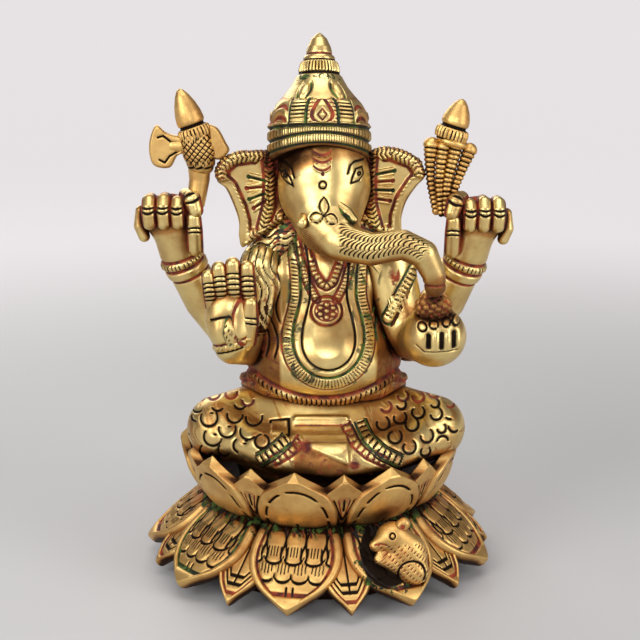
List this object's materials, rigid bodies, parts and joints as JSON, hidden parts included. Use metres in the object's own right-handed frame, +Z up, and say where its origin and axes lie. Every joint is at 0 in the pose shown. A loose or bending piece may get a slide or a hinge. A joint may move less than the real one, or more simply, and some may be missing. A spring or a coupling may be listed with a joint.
{
  "type": "seated ganesha idol on lotus",
  "caption": "Cast brass seated elephant-headed deity figure with raised hand, attributes and crown, on a two-tier lotus base with a small crouching mouse.",
  "frame": {"origin": "on the surface that the idol stands on, under the middle of the figure", "axes": "+Z up through the crown, the figure faces -Y, +X is the figure's left side"},
  "size_m": [0.1402, 0.1336, 0.203],
  "materials": {
    "polished_brass": "hand polished on the high spots, lacquered, darker in the chased lines",
    "antique_brass": "antiqued cast brass with green, red and black lacquer left in the recesses",
    "dull_brass": "unpolished, tarnished",
    "plain_steel": "plain zinc-plated steel"
  },
  "bodies": {
    "root": {"lotus_skirt": "antique_brass", "lotus_bowl": "antique_brass", "crossed_legs": "antique_brass", "torso": "polished_brass", "head_and_trunk": "polished_brass", "crown": "antique_brass", "right_ear": "polished_brass", "left_ear": "polished_brass", "right_tusk": "polished_brass", "left_tusk": "polished_brass", "rear_right_arm": "polished_brass", "rear_left_arm": "polished_brass", "front_right_arm": "polished_brass", "front_left_arm": "polished_brass", "axe": "antique_brass", "noose": "antique_brass", "sweets": "antique_brass", "mouse": "antique_brass", "tie_stud": "plain_steel", "washer": "dull_brass", "hex_nut": "plain_steel"}
  },
  "joints": []
}
